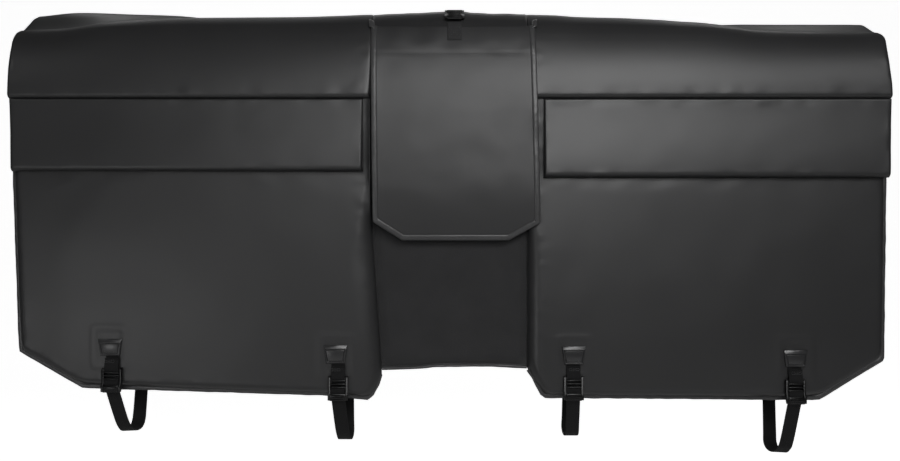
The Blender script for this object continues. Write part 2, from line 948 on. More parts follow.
@dataclass
class BandSkin(Skin):
    """Raised bumper band, sewn on below the roll."""

    wing: WingSkin
    top: float = 0.0368
    foot: float = 0.0425

    def warp(self, x: float, v: float) -> tuple[float, float]:
        """Goes with the wing's cover at the outer end."""
        return x - self.wing.cut.drawn_in(x, v), v

    def height(self, x: float, v: float) -> float:
        """Height of the band's outer face.

        Args:
            x: place across the pattern.
            v: place along the section.

        Returns:
            The height above the tailgate's skin.
        """
        share = (CREASE - v) / (CREASE - BAND_FOOT)
        full = self.top + (self.foot - self.top) * smooth(share)
        seed = 31.0 if self.wing.cut.side is Side.LEFT else 47.0
        full += 0.0007 * ripple(x, v, 0.16, seed) + 0.0003 * ripple(x, v, 0.05, seed + 3)
        edge = self.pattern.edge(x, v)
        full += 0.0010 * ripple(x, v, 0.028, seed + 7) * bell(edge - 0.004, 0.008)
        ground = flow(((BAND_FOOT - 0.02, PANEL), (CREASE, VALLEY)), v) + 0.0030
        return ground + (full - ground) * self.pattern.rise(x, v)


@dataclass
class CentreSkin(Skin):
    """Thin panel between the wings, most of it behind the access flap."""

    left: WingCut
    right: WingCut
    half: float
    crest: Stops
    sag: Stops

    def warp(self, x: float, v: float) -> tuple[float, float]:
        """Fits the panel between the wings' seams, and lets its bottom edge sag.

        Args:
            x: place across the pattern.
            v: place along the section.

        Returns:
            The moved x and v.
        """
        wing = self.left if x < 0 else self.right
        seam = wing.seam + flow(wing.lean, v) - 0.0006
        low = 1 - smooth((v + GATE.below(0.60)) / 0.10)
        return x / self.half * seam, v - flow(self.sag, x) * low

    def height(self, x: float, v: float) -> float:
        """Height of the panel's outer face.

        Args:
            x: place across the pattern.
            v: place along the section.

        Returns:
            The height above the tailgate's skin.
        """
        crest = flow(self.crest, x)
        low = flow(CENTRE_FALL, v)
        full = min(ROLL.height(v, crest, 0.044), low) if v < FRONT_EDGE else ROLL.height(v, crest, 0.044)
        full += 0.0009 * ripple(x, v, 0.12, 71.0) + 0.0004 * ripple(x, v, 0.04, 75.0)
        full += 0.0010 * ripple(x, v, 0.030, 78.0) * smooth((v - FRONT_EDGE) / 0.01)
        floor = 0.97 * smooth((v - FRONT_EDGE + 0.012) / 0.012) if abs(v) < GATE.below(0.10) else 0.0
        return FLANGE + (full - FLANGE) * max(floor, self.pattern.rise(x, v))


@dataclass
class FlapSkin(Skin):
    """Access flap that hangs from the top edge over the centre."""

    stops: Stops
    crest: Stops
    middle: float = 0.0
    half: float = 0.147

    def height(self, x: float, v: float) -> float:
        """Height of the flap's outer face.

        Args:
            x: place across the pattern.
            v: place along the section.

        Returns:
            The height above the tailgate's skin.
        """
        bow = -0.0015 * (1 - ((x - self.middle) / self.half) ** 2) * smooth((GATE.below(0.30) + v) / 0.2)
        slack = 0.0010 * ripple(x, v, 0.13, 91.0) + 0.0005 * ripple(x, v, 0.045, 95.0)
        top = smooth((v + GATE.below(0.05)) / 0.03)
        slack += top * (0.0012 * ripple(x, v, 0.032, 93.0) + 0.0010 * ripple(x, v, 0.07, 94.0))
        slack -= 0.0003 * bell(v + GATE.below(0.0365), 0.0030)
        edge = self.pattern.edge(x, v)
        lift = 0.0012 * ripple(x, v, 0.05, 97.0) * bell(edge, 0.012)
        over = ROLL.height(v, flow(self.crest, x), 0.044) + 0.0030
        share = smooth((v + GATE.below(0.14)) / 0.03)
        return over * share + flow(self.stops, v) * (1 - share) + bow + slack + lift


# Seams


def stitched(line: Sequence[Sequence[float]], pitch: float) -> Iterator[tuple[Vector, Vector]]:
    """Walks along the stitches of a line.

    Args:
        line: corners of the line.
        pitch: spacing of the stitches.

    Returns:
        For each stitch its middle and its direction.
    """
    corners = [Vector(corner) for corner in line]
    for first, last in zip(corners, corners[1:]):
        run = last - first
        count = max(1, round(run.length / pitch))
        for index in range(count):
            yield first + run * ((index + 0.5) / count), run.normalized()


@dataclass(frozen=True)
class Stitching:
    """Run of lockstitch along a line on the cloth."""

    length: float = 0.0032
    pitch: float = 0.0045
    width: float = 0.0009

    def sew(self, mesh: bmesh.types.BMesh, skin: Skin, line: Stops) -> None:
        """Adds the stitches of one line to a mesh.

        Args:
            mesh: what the stitches are added to.
            skin: the cloth.
            line: corners of the line in the pattern.
        """
        size = Matrix.Diagonal((self.width / 2, self.length / 2, self.width / 2.4, 1))
        for at, along in stitched(line, self.pitch):
            place = skin.frame(at.x, at.y, tuple(along), lift=0.0002)
            bmesh.ops.create_uvsphere(mesh, u_segments=6, v_segments=4, radius=1.0,
                                      matrix=place @ size @ Matrix.Rotation(math.pi / 2, 4, "X"))

    def seam(self, name: str, skin: Skin, lines: Iterable[Stops]) -> bpy.types.Object:
        """Sews several lines as one piece.

        Args:
            name: the piece's name.
            skin: the cloth.
            lines: the lines in the pattern.

        Returns:
            The new piece.
        """
        mesh = bmesh.new()
        for line in lines:
            self.sew(mesh, skin, line)
        return finished(name, mesh, THREAD)


def inset_line(pattern: Pattern, distances: Sequence[float]) -> list[tuple[float, float]]:
    """Corners of a pattern with each side moved in.

    Args:
        pattern: the pattern.
        distances: how far each side moves in.

    Returns:
        The moved corners, in the pattern's order.
    """
    lines = [(start + normal * move, normal) for (start, normal, *_), move in zip(pattern.sides(), distances)]
    corners = []
    for (point, normal), (before, other) in zip(lines, lines[-1:] + lines[:-1]):
        moved = Matrix((normal, other)).inverted() @ Vector((point.dot(normal), before.dot(other)))
        corners.append(tuple(moved))
    return corners


@dataclass(frozen=True)
class Binding:
    """Tape folded round the edge of a panel, with a crumpled face."""

    width: float = 0.0085
    body: float = 0.0016
    back: float = 0.0012

    def bind(self, name: str, skin: Skin, line: Stops, seed: float) -> bpy.types.Object:
        """Folds the tape round an edge.

        Args:
            name: the piece's name.
            skin: the cloth whose edge is bound.
            line: corners along the edge in the pattern, with the cloth on the left.
            seed: picks the crumples.

        Returns:
            The new piece.
        """
        profile = ((self.width, 0.0006), (self.width - 0.0008, self.body), (0.0030, self.body + 0.0005),
                   (0.0004, self.body), (-0.0010, 0.0), (-0.0010, -FLANGE + self.back),
                   (0.0008, -FLANGE + 0.0002), (self.width, -FLANGE + 0.0002))

        def place(station: Station, reach: float, lift: float) -> Vector:
            """Point of the tape, crumpled where it turns the edge.

            Args:
                station: the station on the line.
                reach: distance from the line.
                lift: height over the cloth.

            Returns:
                The point in space.
            """
            corner, inward, tilt, at = station
            wobble = 0.0007 * ripple(at, reach * 3, 0.02, seed) + 0.0005 * ripple(at, 0, 0.055, seed + 4)
            spot = corner + inward * (reach * tilt + wobble)
            raised = lift + (0.0008 * ripple(at, reach * 2, 0.011, seed + 8) if lift > 0 else 0.0)
            return skin.hung(spot.x, spot.y, FLANGE + raised)

        return tape(name, line, profile, place, 0.03)


def tape(name: str, line: Stops, profile: Stops,
         place: Callable[[Station, float, float], Vector], wide: float) -> bpy.types.Object:
    """Lays a narrow tape along a line of a pattern.

    Args:
        name: the piece's name.
        line: corners of the line, with the cloth on the left.
        profile: the tape's cross section, as pairs of reach from the line and lift.
        place: gives a point's place in space from its station, reach and lift.
        wide: width of the tape on its UV map.

    Returns:
        The new piece.
    """
    stations = spaced(line, 0.004)
    last, rows = len(stations) - 1, len(profile) - 1
    mesh = grid(last, rows)
    layer = mesh.loops.layers.uv.verify()
    for face in mesh.faces:
        for loop in face.loops:
            loop[layer].uv = (loop.vert.co.y * wide, stations[round(loop.vert.co.x * last)][3])
    for vert in mesh.verts:
        vert.co = place(stations[round(vert.co.x * last)], *profile[round(vert.co.y * rows)])
    bmesh.ops.recalc_face_normals(mesh, faces=mesh.faces[:])
    return finished(name, mesh, TAPE, flat_uv=True)


def spaced(line: Stops, pitch: float) -> list[Station]:
    """Stations along a line of corners.

    Args:
        line: the corners, with the cloth on the left.
        pitch: spacing of the stations.

    Returns:
        For each station its point, its inward direction, the mitre factor there and the distance run.
    """
    points = [Vector(corner) for corner in line]
    normals = []
    for start, end in zip(points, points[1:]):
        along = (end - start).normalized()
        normals.append(Vector((-along.y, along.x)))
    stations, run = [], 0.0
    for index, (start, end) in enumerate(zip(points, points[1:])):
        length = (end - start).length
        count = max(1, round(length / pitch))
        for step in range(count + (index == len(points) - 2)):
            inward, factor = normals[index], 1.0
            if step == 0 and index:
                inward = (normals[index] + normals[index - 1]).normalized()
                factor = 1 / max(inward.dot(normals[index]), 0.3)
            stations.append((start.lerp(end, step / count), inward, factor, run + length * step / count))
        run += length
    return stations


# Webbing


def level_across(_: float) -> Vector:
    """Direction across webbing that does not turn."""
    return Vector((1, 0, 0))


@dataclass(frozen=True)
class Ribbon:
    """Flat webbing along a path in space."""

    width: float = 0.025
    thickness: float = 0.0015

    def lay(self, name: str, path: Sequence[Vector], across: Callable[[float], Vector] = level_across,
            finish: Finish = WEBBING) -> bpy.types.Object:
        """Lays webbing along a path.

        Args:
            name: the piece's name.
            path: points of its centre line.
            across: unit vector across the webbing at a share of its length.
            finish: what it is woven from.

        Returns:
            The new piece.
        """
        lengths = [0.0]
        for start, end in zip(path, path[1:]):
            lengths.append(lengths[-1] + (end - start).length)
        mesh = grid(len(path) - 1, 8)
        layer = mesh.loops.layers.uv.verify()
        rows = {vert: (round(vert.co.x * (len(path) - 1)), vert.co.y - 0.5) for vert in mesh.verts}
        for face in mesh.faces:
            for loop in face.loops:
                row, side = rows[loop.vert]
                loop[layer].uv = (side * self.width, lengths[row])
        for vert, (row, side) in rows.items():
            vert.co = path[row] + across(lengths[row] / lengths[-1]) * (side * self.width)
        piece = finished(name, mesh, finish, flat_uv=True)
        return thicken(piece, self.thickness, 0.0, bevel=0.0004)


STRAP = Ribbon(width=0.0245)
TIE_STRAP = Ribbon()
BIKE_STRAP = Ribbon(width=0.038, thickness=0.0022)


def bent(points: Sequence[Vector], pitch: float = 0.003) -> list[Vector]:
    """Smooth path through points, by Catmull-Rom.

    Args:
        points: what it goes through.
        pitch: spacing of the result.

    Returns:
        The points of the smooth path.
    """
    path = []
    for index in range(len(points) - 1):
        p1, p2 = points[index], points[index + 1]
        p0 = points[index - 1] if index else p1 * 2 - p2
        p3 = points[index + 2] if index + 2 < len(points) else p2 * 2 - p1
        count = max(1, math.ceil((p2 - p1).length / pitch))
        for step in range(count):
            t = step / count
            path.append(0.5 * (2 * p1 + (p2 - p0) * t + (2 * p0 - 5 * p1 + 4 * p2 - p3) * t ** 2
                               + (3 * p1 - p0 - 3 * p2 + p3) * t ** 3))
    return path + [points[-1]]


# The wings


@dataclass
class Wing:
    """One padded wing: cover, band, binding and stitching."""

    cut: WingCut
    rear_drop: float = 0.42
    rear_cut: tuple[float, float] = (0.080, 0.055)
    hem: float = 0.008
    skin: WingSkin = field(init=False)

    def __post_init__(self) -> None:
        """Draws the wing's pattern as a right-hand one, from the notch round the outer end to the seam."""
        half = self.cut.corners[-1][0]
        foot, *front = ((x, -GATE.below(depth)) for x, depth in self.cut.corners)
        across, up = self.rear_cut
        rear = [(half, GATE.below(self.rear_drop - up)), (half - across, GATE.below(self.rear_drop)),
                (self.cut.seam, GATE.below(self.rear_drop))]
        edge, notch, bed, free = (self.hem, 0.014), (0.0015, 0.015), (self.hem, 0.012), (0.0, 0.0)
        rims = (notch, notch, (0.0062, 0.014), *(edge,) * (len(front) - 5), free, free, bed, bed, free, notch)
        self.skin = WingSkin(Pattern((*front, *rear, foot), rims), self.cut, (len(front) - 2, len(front) - 1))

    @property
    def word(self) -> str:
        """The side's word in the names of the pieces."""
        return self.cut.side.word

    def mirror(self, piece: bpy.types.Object) -> bpy.types.Object:
        """Turns a right-hand piece into a left-hand one where this is the left wing.

        Args:
            piece: the piece.

        Returns:
            The same piece.
        """
        if self.cut.side is Side.LEFT:
            piece.data.transform(Matrix.Diagonal((-1, 1, 1, 1)))
            piece.data.flip_normals()
        return piece

    def cover(self) -> bpy.types.Object:
        """Hangs the coated cover.

        Returns:
            The cover.
        """
        creases = [CREASE + d for d in (-0.0015, 0.0, 0.0006, 0.0015, 0.003, 0.005, 0.008)]
        sides = list(self.skin.pattern.sides())
        lines = level(*bend_lines(), *creases)
        end_cuts = ((0.008, 0.0085, 0.0105, 0.0140, 0.0190), (0.001, 0.0015, 0.0035, 0.0065))
        for k, distances in zip(self.skin.ends, end_cuts):
            lines += [(sides[k][0] + sides[k][1] * away, sides[k][1]) for away in distances]
        lines += [(Vector((self.cut.seam + away, 0)), Vector((1, 0)))
                  for away in (0.0006, 0.0018, 0.0030, 0.0042)]
        mesh = self.skin.pattern.cut(0.006, (0, 0.04, 0.14, 0.32, 0.6, 1.0), lines)
        word = self.word
        piece = self.skin.hang(f"{word}_wing_cover", mesh, COVER)
        self.mirror(piece)
        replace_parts(piece, *(f"{word}_{node}" for node in SHELL_NODES))
        return thicken(piece, 0.0012)

    def bumper(self) -> bpy.types.Object:
        """Hangs the raised bumper band.

        Returns:
            The band's cover.
        """
        (inner, outer, foot), low, top = self.cut.band, self.cut.band_foot, CREASE - 0.0006
        corners = ((inner, low), (foot, low), (outer, top), (inner, top))
        pattern = Pattern(corners, ((0.0, 0.007), (0.0, 0.009), (0.0, 0.0038), (0.0, 0.0035)))
        skin = BandSkin(pattern, self.skin)
        mesh = pattern.cut(0.005, (0.05, 0.15, 0.35, 0.65, 1.0))
        piece = skin.hang(f"{self.word}_band_cover", mesh, COVER)
        self.mirror(piece)
        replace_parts(piece, f"{self.word}_bumper_cover", f"{self.word}_bumper_foam")
        thicken(piece, 0.0012)
        line = inset_line(pattern, (0.0035,) * 4)
        self.mirror(Stitching().seam(f"{self.word}_band_stitches", skin, [(line[3], line[0], line[1])]))
        return piece

    def edging(self) -> bpy.types.Object:
        """Binds the wing's free edges and sews the tape down.

        Returns:
            The tape.
        """
        corners = self.skin.pattern.corners
        last, word = len(corners) - 1, self.word
        piece = self.mirror(Binding().bind(f"{word}_binding", self.skin, corners[last:] + corners[:last],
                                           5.0 + self.cut.side.value))
        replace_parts(piece, f"{word}_hem")
        inner = inset_line(self.skin.pattern, (0.0062,) * (last - 1) + (0.0, 0.0062))
        upper = self.skin.ends[1] + 1
        face = FlatSkin(self.skin.pattern, FLANGE + 0.0022, self.skin)
        lines = [(inner[last], *inner[:upper]), inner[upper:last]]
        self.mirror(Stitching().seam(f"{word}_hem_stitches", face, lines))
        return piece

    def build(self) -> None:
        """Makes the whole wing."""
        self.cover()
        self.bumper()
        self.edging()


@dataclass
class FlatSkin(Skin):
    """Surface at one height that goes with another skin, for a lining or for stitches on a tape."""

    tall: float = 0.0
    follow: Skin | None = None

    def warp(self, x: float, v: float) -> tuple[float, float]:
        """Moves as the skin that it follows."""
        return self.follow.warp(x, v) if self.follow else (x, v)

    def height(self, x: float, v: float) -> float:
        """The one height."""
        return self.tall


@dataclass
class RaisedSkin(Skin):
    """A skin's face, raised by what lies on it."""

    under: Skin
    lift: float

    def height(self, x: float, v: float) -> float:
        """Height over what lies on the skin."""
        return self.under.height(x, v) + self.lift


LEFT_WING = WingCut(
    side=Side.LEFT,
    corners=((0.1310, 0.6070), (0.1365, 0.6240), (0.1455, 0.6410), (0.1560, 0.6500), (0.6500, 0.6345),
             (0.6640, 0.6335), (0.7770, 0.5685), (0.7780, 0.5620), (0.7890, 0.2520)),
    seam=0.1310, band=(0.1535, 0.7815, 0.7775), band_foot=-GATE.below(0.2450),
    crest=((0.14, 0.0450), (0.20, 0.0430), (0.27, 0.0410), (0.49, 0.0390), (0.61, 0.0322), (0.71, 0.0180),
           (0.78, 0.0155)),
    ridge=((0.15, 0.0450), (0.27, 0.0425), (0.40, 0.0450), (0.52, 0.0573), (0.61, 0.0608), (0.70, 0.0638),
           (0.775, 0.0570)),
    pull=((BAND_FOOT, 0.0), (CREASE, 0.0020), (FRONT_EDGE, 0.0006)),
    lean=((-GATE.below(0.60), -0.0086), (-GATE.below(0.35), 0.0080)),
    sag=((0.15, 0.0060), (0.22, 0.0)),
    seam_round=((-GATE.below(0.40), 0.045), (-GATE.below(0.26), 0.007)),
    end_round=((BAND_FOOT - 0.01, 0.0140), (CREASE, 0.0080), (FRONT_EDGE, 0.0100)),
    hoods=((0.606, 0.557), (0.202, 0.573)),
)
RIGHT_WING = WingCut(
    side=Side.RIGHT,
    corners=((0.1404, 0.6035), (0.1500, 0.6170), (0.1650, 0.6465), (0.1730, 0.6520), (0.6560, 0.6560),
             (0.6690, 0.6550), (0.7830, 0.5855), (0.7855, 0.5800), (0.7895, 0.2560)),
    seam=0.1404, band=(0.1672, 0.7835, 0.7815), band_foot=-GATE.below(0.2560),
    crest=((0.14, 0.0450), (0.19, 0.0440), (0.23, 0.0410), (0.31, 0.0390), (0.346, 0.0373), (0.38, 0.0355),
           (0.42, 0.0320), (0.455, 0.0300), (0.49, 0.0263), (0.57, 0.0165), (0.73, 0.0120)),
    ridge=((0.20, 0.0425), (0.31, 0.0400), (0.42, 0.0360), (0.49, 0.0385), (0.56, 0.0410), (0.73, 0.0410)),
    pull=((BAND_FOOT, 0.0), (CREASE, 0.0005), (FRONT_EDGE, 0.0005)),
    lean=((-GATE.below(0.60), 0.0), (-GATE.below(0.35), 0.0)),
    sag=((0.15, 0.0), (0.22, 0.0)),
    seam_round=((-GATE.below(0.40), 0.024), (-GATE.below(0.26), 0.006)),
    end_round=((BAND_FOOT - 0.01, 0.0140), (CREASE, 0.0080), (FRONT_EDGE, 0.0170), (0.0, 0.0120)),
    hoods=((0.220, 0.575), (0.616, 0.577)),
)


CENTRE_CREST = ((-0.13, 0.0447), (-0.09, 0.0465), (-0.05, 0.0480), (-0.017, 0.0500), (0.010, 0.0510),
                (0.030, 0.0500), (0.040, 0.0487), (0.080, 0.0475), (0.130, 0.0455))

CENTRE_FALL = ((-GATE.below(0.585), 0.0135), (-GATE.below(0.54), 0.0095), (-GATE.below(0.45), 0.0150),
               (-GATE.below(0.36), 0.0105), (-GATE.below(0.14), 0.0150), (-GATE.below(0.08), 0.0360))


@dataclass
class CentrePanel:
    """Thin centre panel with its two bound hems."""

    left: Wing
    right: Wing
    half: float = 0.1335
    drop: float = 0.5955
    rear_drop: float = 0.42
    skin: CentreSkin = field(init=False)

    def build(self) -> None:
        """Makes the panel and binds its hems."""
        front, rear = -GATE.below(self.drop), GATE.below(self.rear_drop)
        corners = ((-self.half, front), (self.half, front), (self.half, rear), (-self.half, rear))
        pattern = Pattern(corners, ((0.0055, 0.007), (0.0, 0.0015), (0.008, 0.010), (0.0, 0.0015)))
        sag = ((-0.13, 0.0060), (-0.06, 0.0040), (-0.02, 0.0006), (0.06, 0.0), (0.13, 0.0030))
        self.skin = skin = CentreSkin(pattern, self.left.cut, self.right.cut, self.half, CENTRE_CREST, sag)
        mesh = pattern.cut(0.005, (0, 0.1, 0.3, 0.6, 1.0), level(*bend_lines()))
        piece = skin.hang("centre_panel_cover", mesh, COVER)
        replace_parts(piece, *(f"centre_{node}" for node in SHELL_NODES))
        thicken(piece, 0.0012)
        inner = inset_line(pattern, (0.0062, 0.0, 0.0062, 0.0))
        for word, first, seed, wide in (("front", 0, 21.0, 0.0042), ("bed", 2, 23.0, 0.0085)):
            hem = Binding(width=wide).bind(f"centre_binding_{word}", skin, corners[first:first + 2], seed)
            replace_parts(hem, f"centre_hem_{word}")
            Stitching().seam(f"centre_stitches_{word}", FlatSkin(pattern, FLANGE + 0.0022, skin),
                             [inner[first:first + 2]])


@dataclass
class Lining:
    """Soft sheet against the tailgate, cut to the wings' outline."""

    left: Wing
    right: Wing
    centre: CentrePanel

    def build(self) -> None:
        """Hangs the lining in three lengths that meet at the centre seams."""
        for wing in (self.left, self.right):
            skin = FlatSkin(wing.skin.pattern, FLANGE - 0.0020, wing.skin)
            wing.mirror(self.cut_length(f"{wing.word}_lining", skin, f"{wing.word}_wing_cover"))
        half = self.centre.half + 0.0006
        front, rear = -GATE.below(self.centre.drop - 0.0015), GATE.below(self.left.rear_drop)
        pattern = Pattern(((-half, front), (half, front), (half, rear), (-half, rear)), ((0.0, 0.0),) * 4)
        skin = FlatSkin(pattern, FLANGE - 0.0024, self.centre.skin)
        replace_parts(self.cut_length("centre_lining", skin, "centre_panel_cover"), "lining")

    def cut_length(self, name: str, skin: FlatSkin, cover: str) -> bpy.types.Object:
        """Hangs one length of the lining.

        Args:
            name: the piece's name.
            skin: where it hangs.
            cover: name of the cover that it lies on.

        Returns:
            The new piece.
        """
        pattern = skin.pattern
        piece = skin.hang(name, pattern.cut(0.02, (), level(*bend_lines())), LINING)
        thicken(piece, LINING_THICK)
        pattern.size
        pattern.area
        return piece


def bend_lines() -> list[float]:
    """Places along the section where cloth bends over the tailgate's two edges."""
    return [s * (GATE.flat + GATE.bend * t / 5) for s in (-1, 1) for t in range(6)]


@dataclass
class AccessFlap:
    """Flap over the centre, its welt, its two folded corner tabs and its top seam."""

    crest: Stops
    drop: float = 0.3665
    left: tuple[float, float, float] = (-0.1382, -0.1350, -0.0846)
    right: tuple[float, float, float] = (0.1514, 0.1602, 0.1059)
    corner_rise: tuple[float, float] = (0.0325, 0.0305)
    skin: FlapSkin = field(init=False)

    def __post_init__(self) -> None:
        """Draws the flap's pattern."""
        foot, top = -GATE.below(self.drop), -(GATE.flat + 0.58 * GATE.bend)
        corners = ((self.left[2], foot), (self.right[2], foot), (self.right[1], foot + self.corner_rise[1]),
                   (self.right[0], top), (self.left[0], top), (self.left[1], foot + self.corner_rise[0]))
        stops = ((foot, 0.0240), (-GATE.below(0.330), 0.0340), (-GATE.below(0.27), 0.0405),
                 (-GATE.below(0.18), 0.0430), (CREASE, 0.0440))
        middle = (self.left[0] + self.right[1]) / 2
        self.skin = FlapSkin(Pattern(corners, ((0.0, 0.0),) * 6), stops, self.crest, middle)

    def build(self) -> None:
        """Makes the flap with its trimmings."""
        mesh = self.skin.pattern.cut(0.004, (), level(*bend_lines()[:6]))
        piece = self.skin.hang("access_flap_sheet", mesh, FLAP)
        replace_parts(piece, "access_flap")
        thicken(piece, 0.0022)
        self.skin.pattern.size
        self.skin.pattern.area
        self.welt()
        self.corner_tabs()
        self.top_seam()

    def welt(self) -> None:
        """Lays the flat welt round the flap's three free sides and sews it down."""
        corners = self.skin.pattern.corners
        line = (corners[4], corners[5], corners[0], corners[1], corners[2], corners[3])
        profile = ((-0.0006, -0.0026), (-0.0012, -0.0006), (-0.0006, 0.0009), (0.0014, 0.0015),
                   (0.0050, 0.0018), (0.0082, 0.0017), (0.0092, 0.0001))

        def place(station: Station, reach: float, lift: float) -> Vector:
            """Point of the welt on the flap's face.

            Args:
                station: the station on the line.
                reach: distance from the line.
                lift: height over the cloth.

            Returns:
                The point in space.
            """
            corner, inward, factor, at = station
            spot = corner + inward * (reach * factor)
            return self.skin.point(spot.x, spot.y, lift + 0.0003 * ripple(at, reach, 0.015, 61.0))

        piece = tape("flap_welt_tape", line, profile, place, 0.02)
        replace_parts(piece, "flap_welt")
        inner = inset_line(self.skin.pattern, (0.0078, 0.0078, 0.0078, 0.0, 0.0078, 0.0078))
        Stitching().seam("flap_stitches", self.skin, [(inner[4], inner[5], *inner[:4])])

    def corner_tabs(self) -> None:
        """Folds the welt's two free ends at the flap's upper corners."""
        corners = self.skin.pattern.corners
        for word, corner, lean in (("left", corners[4], -1), ("right", corners[3], 1)):
            mesh = grid(6, 6)
            for vert in mesh.verts:
                across, up = vert.co.x, vert.co.y
                x = corner[0] + lean * (0.0046 - 0.0100 * across + 0.0015 * up)
                v = corner[1] - 0.0008 + 0.0042 * up - 0.0012 * across
                curl = 0.0018 + 0.0016 * math.sin(math.pi * across) * (0.4 + 0.6 * up) - 0.0008 * up
                vert.co = self.skin.point(x, v, curl + 0.0004 * ripple(x, v, 0.006, 65.0))
            bmesh.ops.recalc_face_normals(mesh, faces=mesh.faces[:])
            thicken(finished(f"flap_corner_{word}", mesh, TAPE), 0.0012, offset=0.0)

    def top_seam(self) -> None:
        """Sews the line across the flap below the tie."""
        v = -GATE.below(0.0372)
        line = ((self.left[0] + 0.020, v), (self.right[0] - 0.016, v))
        Stitching().seam("flap_top_seam", self.skin, [line])


# Buckles and straps


@dataclass
class LadderLock:
    """One-piece ladder-lock buckle, built round its own origin at its top, and then put in place."""

    name: str
    node: str
    place: Matrix
    width: float = 0.035
    height: float = 0.042
    slot: float = 0.0264
    front: float = 0.0090
    lip_out: float = 0.0122
    bar_out: float = 0.0052
    web_reach: float = 0.00305
    bars: tuple[tuple[float, float], ...] = ((0.005, 0.0020), (0.014, 0.0022), (0.023, 0.0020))
    front_bars: tuple[float, ...] = (0.0070, 0.0130, 0.0190)
    front_bar_out: float = 0.0100
    front_bar_radius: float = 0.0013

    def around(self, bar: int, first: float, last: float, steps: int = 12) -> list[Vector]:
        """Way of the webbing round one of the three threaded bars.

        Args:
            bar: the bar, counted from the top.
            first: first angle in degrees, 0 towards the panel.
            last: last angle.
            steps: steps between them.

        Returns:
            The points, in space.
        """
        depth, reach = self.bars[bar][0], self.web_reach
        angles = [math.radians(first + (last - first) * step / steps) for step in range(steps + 1)]
        return [self.at(self.bar_out - reach * math.cos(a), depth - reach * math.sin(a)) for a in angles]

    def at(self, out: float, depth: float) -> Vector:
        """Point in space by its distance out from the panel and its depth below the buckle's top."""
        return self.place @ Vector((0, -out, -depth))

    def build(self) -> bpy.types.Object:
        """Moulds the buckle.

        Returns:
            The new piece.
        """
        outer, inner, foot, lip_out = self.width / 2, self.slot / 2, self.height, self.lip_out
        rail = ((0.0012, 0.0015), (0.0027, 0.0), (self.front - 0.002, 0.0), (self.front, 0.003),
                (self.front, foot - 0.0175), (lip_out, foot - 0.0115), (lip_out, foot - 0.0015),
                (lip_out - 0.0012, foot), (lip_out - 0.0044, foot), (0.0012, 0.027))
        lip = ((lip_out - 0.0026, foot - 0.012), (lip_out + 0.0002, foot - 0.0118),
               (lip_out + 0.0010, foot - 0.0060), (lip_out + 0.0002, foot + 0.0006),
               (lip_out - 0.0026, foot + 0.0006))
        shapes = [(rail, -outer, -inner), (rail, inner, outer), (lip, -inner - 0.0005, inner + 0.0005)]
        for down in (foot - 0.0095, foot - 0.0060, foot - 0.0025):
            rib = ((lip_out + 0.0002, down - 0.0010), (lip_out + 0.0020, down - 0.0002),
                   (lip_out + 0.0020, down + 0.0005), (lip_out + 0.0002, down + 0.0010))
            shapes.append((rib, -inner + 0.002, inner - 0.002))
        mesh = bmesh.new()
        for outline, x0, x1 in shapes:
            extrude(mesh, [(x0, -out, -down) for out, down in outline], (x1 - x0, 0, 0))
        bars = [(self.bar_out, *bar) for bar in self.bars]
        bars += [(self.front_bar_out, depth, self.front_bar_radius) for depth in self.front_bars]
        for out, depth, radius in bars:
            bar = Matrix.Translation((0, -out, -depth)) @ Matrix.Rotation(math.pi / 2, 4, "Y")
            bmesh.ops.create_cone(mesh, cap_ends=True, segments=20, radius1=radius, radius2=radius,
                                  depth=self.slot + 0.001, matrix=bar)
        bmesh.ops.recalc_face_normals(mesh, faces=mesh.faces[:])
        bmesh.ops.transform(mesh, verts=mesh.verts[:], matrix=self.place)
        piece = finished(self.name, mesh, PLASTIC)
        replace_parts(piece, self.node)
        return soften(piece, 0.0006, segments=2, angle=35)


def extrude(mesh: bmesh.types.BMesh, outline: Iterable[Sequence[float]], move: Sequence[float]) -> list:
    """Adds an outline, extruded into a closed shape.

    Args:
        mesh: what it is added to.
        outline: the outline's corners.
        move: how far its copy is moved.

    Returns:
        The moved vertices.
    """
    face = mesh.faces.new([mesh.verts.new(corner) for corner in outline])
    made = bmesh.ops.extrude_face_region(mesh, geom=[face])
    moved = [item for item in made["geom"] if isinstance(item, bmesh.types.BMVert)]
    bmesh.ops.translate(mesh, verts=moved, vec=move)
    return moved


